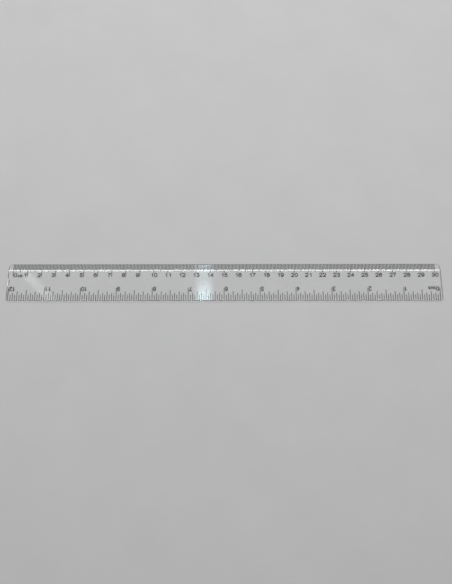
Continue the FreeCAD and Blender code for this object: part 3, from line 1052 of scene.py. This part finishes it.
@dataclass
class Cell:
    """A cell for one glyph, drawn from its lower left corner with a pen.

    The stem is how tall an h stands and how high the dot of an i lies.
    """

    pen: Pen
    width: float
    height: float
    stem: float = 0.0

    def zero(self) -> None:
        """Draws a 0."""
        self.pen.ring(self.width / 2, self.height / 2, self.width / 2, self.height / 2)

    def one(self) -> None:
        """Draws a 1, with a curved flag."""
        stem, flag = 0.78 * self.width, 0.48 * self.width
        self.pen.line((stem, 0), (stem, self.height))
        self.pen.arc(stem - flag, self.height, flag, 0.26 * self.height, -80, 0)

    def two(self) -> None:
        """Draws a 2: a bowl, a straight diagonal from its lower end and a base."""
        middle, top, end = self.width / 2, 0.3 * self.height, -38
        turn = math.radians(end)
        self.pen.arc(middle, self.height - top, middle, top, end, 168)
        self.pen.line((middle + middle * math.cos(turn),
                       self.height - top + top * math.sin(turn)), (0, 0), (self.width, 0))

    def three(self) -> None:
        """Draws a 3: two open bowls that meet at a short waist."""
        middle, waist = self.width / 2, 0.53 * self.height
        upper, lower = (self.height - waist) / 2, waist / 2
        self.pen.arc(middle, self.height - upper, 0.92 * middle, upper, -90, 155)
        self.pen.arc(middle, lower, middle, lower, -158, 90)
        self.pen.line((0.72 * middle, waist), (middle, waist))

    def four(self) -> None:
        """Draws a 4, closed at the top."""
        stem, bar = 0.76 * self.width, 0.26 * self.height
        self.pen.line((stem, 0), (stem, self.height), (0, bar), (self.width, bar))

    def five(self) -> None:
        """Draws a 5: a top bar, a straight back and an open bowl."""
        middle, bowl, shoulder = self.width / 2, 0.31 * self.height, 140
        turn = math.radians(shoulder)
        self.pen.line((0.9 * self.width, self.height), (0.2 * self.width, self.height),
                      (middle + middle * math.cos(turn), bowl + bowl * math.sin(turn)))
        self.pen.arc(middle, bowl, middle, bowl, -158, shoulder)

    def six(self) -> None:
        """Draws a 6: a closed bowl and a long curved back."""
        middle, bowl, centre = self.width / 2, 0.31 * self.height, 0.5 * self.height
        self.pen.ring(middle, bowl, middle, bowl)
        self.pen.arc(middle, centre, middle, centre, 38, 180)
        self.pen.line((0, centre), (0, bowl))

    def seven(self) -> None:
        """Draws a 7, with a slightly curved stem."""
        self.pen.line((0, self.height), (self.width, self.height))
        self.pen.arc(1.35 * self.width, 0, 1.0 * self.width, 1.06 * self.height, 110, 180)

    def eight(self) -> None:
        """Draws an 8, narrower above its waist."""
        middle, waist = self.width / 2, 0.54 * self.height
        self.pen.ring(middle, waist / 2, middle, waist / 2)
        self.pen.ring(middle, (self.height + waist) / 2,
                      0.87 * middle, (self.height - waist) / 2)

    def nine(self) -> None:
        """Draws a 9, which is a 6 turned round."""
        middle, bowl, centre = self.width / 2, 0.31 * self.height, 0.5 * self.height
        self.pen.ring(middle, self.height - bowl, middle, bowl)
        self.pen.arc(middle, centre, middle, centre, 218, 360)
        self.pen.line((self.width, centre), (self.width, self.height - bowl))

    def small_c(self) -> None:
        """Draws a small c."""
        self.pen.arc(self.width / 2, self.height / 2, self.width / 2, self.height / 2, 42, 318)

    def small_n(self) -> None:
        """Draws a small n."""
        arch = 0.45 * self.height
        self.pen.line((0, 0), (0, self.height))
        self.pen.arc(self.width / 2, self.height - arch, self.width / 2, arch, 0, 170)
        self.pen.line((self.width, self.height - arch), (self.width, 0))

    def small_h(self) -> None:
        """Draws a small h, which is an n with a taller stem."""
        self.small_n()
        self.pen.line((0, self.height), (0, self.stem))

    def small_i(self) -> None:
        """Draws a small i."""
        self.pen.line((0, 0), (0, self.height))
        self.pen.dot(0, self.stem)

    def small_m(self) -> None:
        """Draws a small m."""
        arch, half_arch = 0.4 * self.height, self.width / 4
        self.pen.line((0, 0), (0, self.height))
        for middle in (half_arch, 3 * self.width / 4):
            self.pen.arc(middle, self.height - arch, half_arch, arch, 0, 170)
            self.pen.line((middle + half_arch, self.height - arch), (middle + half_arch, 0))


DIGITS: tuple[Callable[[Cell], None], ...] = (
    Cell.zero, Cell.one, Cell.two, Cell.three, Cell.four,
    Cell.five, Cell.six, Cell.seven, Cell.eight, Cell.nine,
)


class Letter(NamedTuple):
    """One letter of a unit's name: how it is drawn and how wide it is."""

    draw: Callable[[Cell], None]
    widening: float


LETTERS = {
    "c": Letter(Cell.small_c, 1.0),
    "h": Letter(Cell.small_h, 1.0),
    "i": Letter(Cell.small_i, 0.0),
    "m": Letter(Cell.small_m, 1.6),
    "n": Letter(Cell.small_n, 1.0),
}


# ---------------------------------------------------------------- scales


# No scale reaches this number, so none of its numerals is centred under its mark.
NEVER_CENTRED = 1000


@dataclass(frozen=True)
class Typeface:
    """The sizes of the numerals and of the small unit names."""

    numeral_height: float
    numeral_width: float
    numeral_stroke: float
    numeral_spacing: float = 0.3 * MM
    side_gap: float = 0.35 * MM
    label_gap: float = 0.5 * MM
    letter_height: float = 1.75 * MM
    stem_height: float = 2.4 * MM
    letter_width: float = 1.2 * MM
    letter_spacing: float = 0.3 * MM
    label_stroke: float = 0.38 * MM
    foil_depth: float = 0.05 * MM

    def span(self, number: int) -> float:
        """How wide a number is, from its first digit's cell to its last."""
        digits = len(str(number))
        return digits * self.numeral_width + (digits - 1) * self.numeral_spacing


class FoilSheet:
    """Collects flat glyphs and turns them into one mesh of thin foil pieces."""

    def __init__(self, depth: float) -> None:
        """Starts with no glyphs.

        Args:
            depth: How thick the foil is.
        """
        self.depth = depth
        self.shape = bmesh.new()

    def lay(self, pen: Pen, left: float, bottom: float) -> None:
        """Adds what a pen has drawn.

        Args:
            pen: The pen.
            left: The X of the left side of its cell.
            bottom: The Y of the lower side of its cell.
        """
        points, faces = pen.merged()
        verts = [self.shape.verts.new((left + p.x, bottom + p.y, self.depth)) for p in points]
        tops = [self.shape.faces.new([verts[k] for k in face]) for face in faces]
        for face in tops:
            if face.normal.z < 0:
                face.normal_flip()
        lower = bmesh.ops.duplicate(self.shape, geom=tops)
        twins = lower["vert_map"]
        rims = [e for f in tops for e in f.edges if len(e.link_faces) == 1]
        bottoms = [g for g in lower["geom"] if isinstance(g, bmesh.types.BMFace)]
        for vert in {v for f in bottoms for v in f.verts}:
            vert.co.z = 0.0
        for face in bottoms:
            face.normal_flip()
        for edge in rims:
            first, second = edge.verts
            self.shape.faces.new((first, second, twins[second], twins[first]))

    def finish(self, name: str, turned: bool, zero_x: float, edge_y: float) -> bpy.types.Object:
        """Makes the piece and puts it in place.

        Args:
            name: The piece's name.
            turned: True where the scale reads the other way up.
            zero_x: The X of the scale's zero mark.
            edge_y: The Y of the scale's edge.

        Returns:
            The new piece.
        """
        bmesh.ops.recalc_face_normals(self.shape, faces=self.shape.faces)
        way = -1.0 if turned else 1.0
        for vert in self.shape.verts:
            vert.co.x = zero_x + way * vert.co.x
            vert.co.y = edge_y + way * vert.co.y
        return add_object(name, self.shape)


@dataclass
class Scale:
    """One printed scale: its marks, which come from the frame, and its lettering."""

    unit: str
    step: float
    letters: str
    numeral_top: float
    first_centred: int
    turned: bool
    marks: tuple[str, ...]
    type: Typeface

    @property
    def whole_marks_node(self) -> str:
        """The node of the marks at whole steps, which is the last of the marks."""
        return self.marks[-1]

    @property
    def row(self) -> tuple[float, float]:
        """Where the row of whole marks begins and ends along X."""
        low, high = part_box(self.whole_marks_node)
        return low[0], high[0]

    @property
    def zero_x(self) -> float:
        """The X of the zero mark, in the middle of the outermost whole mark."""
        low, high = self.row
        return (high - self.half_mark) if self.turned else (low + self.half_mark)

    @property
    def half_mark(self) -> float:
        """Half the width of a mark, which is what the row has beyond its whole steps."""
        low, high = self.row
        return (high - low - self.count * self.step) / 2

    @property
    def count(self) -> int:
        """The number at the far end of the scale."""
        low, high = self.row
        return math.floor((high - low) / self.step)

    @property
    def edge_y(self) -> float:
        """The Y of the edge that the scale is read along."""
        low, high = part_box("blade")
        return low[1] if self.turned else high[1]

    def numeral_left(self, number: int) -> float:
        """Where a number starts: beside its long mark, or centred under a short one.

        Args:
            number: The number.

        Returns:
            How far its left side lies from the zero mark.
        """
        mark = number * self.step
        span = self.type.span(number)
        clearance = self.half_mark + self.type.side_gap
        if number == 0:
            return clearance
        if number >= self.first_centred:
            return mark - span / 2
        return mark - clearance - span

    def build_numerals(self) -> bpy.types.Object:
        """Builds every number of the scale.

        Returns:
            The numbers, as one piece.
        """
        face = self.type
        foil = FoilSheet(face.foil_depth)
        half = face.numeral_stroke / 2
        bottom = -self.numeral_top - face.numeral_height
        for number in range(self.count + 1):
            left = self.numeral_left(number)
            for digit in str(number):
                pen = Pen(face.numeral_stroke)
                DIGITS[int(digit)](Cell(pen, face.numeral_width - 2 * half,
                                        face.numeral_height - 2 * half))
                foil.lay(pen, left + half, bottom + half)
                left += face.numeral_width + face.numeral_spacing
        return foil.finish(f"{self.unit}_numbers", self.turned, self.zero_x, self.edge_y)

    def build_label(self) -> bpy.types.Object:
        """Builds the unit's name beside the zero.

        Returns:
            The name, as one piece.
        """
        face = self.type
        foil = FoilSheet(face.foil_depth)
        half = face.label_stroke / 2
        bottom = -self.numeral_top - face.numeral_height
        left = self.numeral_left(0) + face.span(0) + face.label_gap
        for name in self.letters:
            letter = LETTERS[name]
            width = letter.widening * (face.letter_width - 2 * half)
            pen = Pen(face.label_stroke)
            letter.draw(Cell(pen, width, face.letter_height - 2 * half,
                             face.stem_height - 2 * half))
            foil.lay(pen, left + half, bottom + half)
            left += width + 2 * half + face.letter_spacing
        return foil.finish(f"{self.unit}_name", self.turned, self.zero_x, self.edge_y)

    def dress(self, pieces: Iterable[tuple[bpy.types.Object, str]], finishes: Finishes) -> None:
        """Gives the marks and the lettering their finish.

        Args:
            pieces: Each new piece with the node it stands for.
            finishes: Every material.
        """
        for piece, node in pieces:
            piece.data.materials.append(finishes.foil)
            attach(piece, ROOT_BODY)
            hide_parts(node)
        for node in self.marks:
            for material_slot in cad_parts[node].material_slots:
                material_slot.material = finishes.foil


def centimetre_scale() -> Scale:
    """Describes the scale along the bevelled edge.

    Returns:
        The centimetre scale.
    """
    return Scale(
        unit="centimetre", step=10 * MM, letters="cm", numeral_top=6.5 * MM,
        first_centred=10, turned=False,
        marks=("millimetre_marks", "half_centimetre_marks", "centimetre_marks"),
        type=Typeface(numeral_height=2.9 * MM, numeral_width=2.3 * MM,
                      numeral_stroke=0.44 * MM),
    )


def inch_scale() -> Scale:
    """Describes the scale along the square edge.

    Returns:
        The inch scale.
    """
    return Scale(
        unit="inch", step=25.4 * MM, letters="inch", numeral_top=7.0 * MM,
        first_centred=NEVER_CENTRED, turned=True,
        marks=("sixteenth_inch_marks", "eighth_inch_marks", "quarter_inch_marks",
               "half_inch_marks", "inch_marks"),
        type=Typeface(numeral_height=3.2 * MM, numeral_width=2.1 * MM,
                      numeral_stroke=0.46 * MM),
    )


# ---------------------------------------------------------------- studio


class Stop(NamedTuple):
    """How bright a lamp is at one Y, as a share of its own radiance."""

    y: float
    share: float


@dataclass(frozen=True)
class Lamp:
    """A soft rectangular lamp that faces a point, and may dim along Y and at its sides."""

    name: str
    place: Triple
    faces: Triple
    size: tuple[float, float]
    radiance: float
    colour: Triple = (1.0, 1.0, 1.0)
    stops: tuple[Stop, ...] = ()
    soft_side: float = 0.0
    turn: float = 0.0

    def hang(self) -> None:
        """Adds the lamp to the scene."""
        data = bpy.data.lights.new(self.name, "AREA")
        data.shape = "RECTANGLE"
        data.size, data.size_y = self.size
        data.energy = self.radiance * math.pi * self.size[0] * self.size[1]
        data.color = self.colour
        if self.stops:
            self.dim(data)
        lamp = bpy.data.objects.new(self.name, data)
        bpy.context.scene.collection.objects.link(lamp)
        lamp.location = self.place
        way = Vector(self.faces) - Vector(self.place)
        turned = Matrix.Rotation(math.radians(self.turn), 3, "Z")
        lamp.rotation_euler = (way.to_track_quat("-Z", "Y").to_matrix() @ turned).to_euler()

    def dim(self, data: bpy.types.AreaLight) -> None:
        """Makes the lamp's brightness follow its stops, and fade at its two sides.

        Args:
            data: The lamp's own data.
        """
        data.use_nodes = True
        sheet = NodeSheet(data.node_tree)
        parts = sheet.add("ShaderNodeSeparateXYZ")
        sheet.join(sheet.add("ShaderNodeNewGeometry").outputs["Position"], parts.inputs[0])
        first, last = self.stops[0].y, self.stops[-1].y
        ramp = sheet.add("ShaderNodeValToRGB")
        sheet.join(sheet.remap(parts.outputs["Y"], first, last), ramp.inputs[0])
        marks = ramp.color_ramp.elements
        while len(marks) < len(self.stops):
            marks.new(1.0)
        for mark, stop in zip(marks, self.stops):
            mark.position = (stop.y - first) / (last - first)
            mark.color = (stop.share, stop.share, stop.share, 1.0)
        across = sheet.magnitude(
            sheet.math(Mix.SUBTRACT, parts.outputs["X"], self.place[0]))
        half = self.size[0] / 2
        side = sheet.remap(across, half - self.soft_side, half, 1.0, 0.0)
        glow = sheet.add("ShaderNodeEmission")
        sheet.join(sheet.math(Mix.MULTIPLY, ramp.outputs["Color"], side),
                   glow.inputs["Strength"])
        sheet.join(glow.outputs["Emission"], sheet.add("ShaderNodeOutputLight").inputs[0])


@dataclass(frozen=True)
class Viewpoint:
    """Where the camera stands: nearly overhead, leaning towards the inch edge."""

    lens: float = 30.5
    distance: float = 0.350
    elevation: float = 77.5
    roll: float = -0.08
    nearest: float = 0.01
    aim: Triple = (0.0010, -0.0069, 0.0)

    def place_camera(self) -> None:
        """Adds the camera and makes it the scene's own."""
        data = bpy.data.cameras.new("camera")
        data.lens = self.lens
        data.clip_start = self.nearest
        camera = bpy.data.objects.new("camera", data)
        bpy.context.scene.collection.objects.link(camera)
        lean = math.radians(self.elevation)
        back = Vector((0.0, -math.cos(lean), math.sin(lean))) * self.distance
        camera.location = Vector(self.aim) + back
        tilt = Matrix.Rotation(math.pi / 2 - lean, 3, "X")
        roll = Matrix.Rotation(math.radians(self.roll), 3, "Z")
        camera.rotation_euler = (tilt @ roll).to_euler()
        bpy.context.scene.camera = camera


TUBE_STOPS = (
    Stop(0.10, 1.0), Stop(0.202, 0.9), Stop(0.216, 0.62), Stop(0.229, 0.46),
    Stop(0.250, 0.20), Stop(0.32, 0.20), Stop(0.50, 0.3), Stop(0.85, 0.13), Stop(1.20, 0.13),
)


@dataclass(frozen=True)
class Studio:
    """The card that the ruler lies on, and the light round it."""

    card_size: float = 4.0
    sky: Triple = (0.98, 0.99, 1.0)
    sky_strength: float = 0.275
    lamps: tuple[Lamp, ...] = (
        Lamp("ceiling_strip", place=(0.0, 0.55, 1.0), faces=(0.0, 0.0, 0.0),
             size=(1.5, 0.19), radiance=8.4),
        Lamp("tube", place=(-0.060, 0.6, 1.0), faces=(-0.060, 0.6, 0.0),
             size=(0.056, 1.2), radiance=6.6, colour=(0.70, 0.95, 1.0),
             stops=TUBE_STOPS, soft_side=0.018),
        Lamp("window_edge", place=(-0.515, 0.224, 1.0), faces=(-0.515, 0.224, 0.0),
             size=(0.11, 0.022), radiance=1.3, colour=(0.98, 1.0, 0.94), turn=-44.0),
    )

    def lay_card(self, finishes: Finishes) -> bpy.types.Object:
        """Lays the card just under the ruler.

        Args:
            finishes: Every material.

        Returns:
            The card.
        """
        shape = bmesh.new()
        bmesh.ops.create_grid(shape, x_segments=1, y_segments=1, size=self.card_size / 2)
        for vert in shape.verts:
            vert.co.z = -CARD_GAP
        card = add_object("pale_card", shape)
        card.data.materials.append(finishes.card)
        return card

    def light(self) -> None:
        """Lights the scene evenly from all round and hangs the lamps."""
        world = bpy.data.worlds.new("studio")
        world.use_nodes = True
        sky = world.node_tree.nodes["Background"]
        sky.inputs["Color"].default_value = (*self.sky, 1.0)
        sky.inputs["Strength"].default_value = self.sky_strength
        bpy.context.scene.world = world
        for lamp in self.lamps:
            lamp.hang()
        bpy.context.scene.view_settings.view_transform = "Standard"


# ---------------------------------------------------------------- the whole


def main() -> None:
    """Builds the ruler and the studio round it, piece by piece."""
    logging.basicConfig(level=logging.INFO, format="%(name)s: %(message)s")
    finishes = Finishes.make()

    blade = Blade.from_frame()
    moulding = blade.build()
    blade.dress(moulding, finishes)
    LOG.info("%s has %d faces", moulding.name, len(moulding.data.polygons))

    for scale in (centimetre_scale(), inch_scale()):
        pieces = (
            (scale.build_numerals(), f"{scale.unit}_numerals"),
            (scale.build_label(), f"{scale.unit}_unit_label"),
        )
        scale.dress(pieces, finishes)
        for piece, node in pieces:
            LOG.info("%s stands for %s, with %d faces", piece.name, node,
                     len(piece.data.polygons))

    studio = Studio()
    card = studio.lay_card(finishes)
    LOG.info("%s lies under the ruler", card.name)
    studio.light()
    Viewpoint().place_camera()


if __name__ == "__main__":
    main()
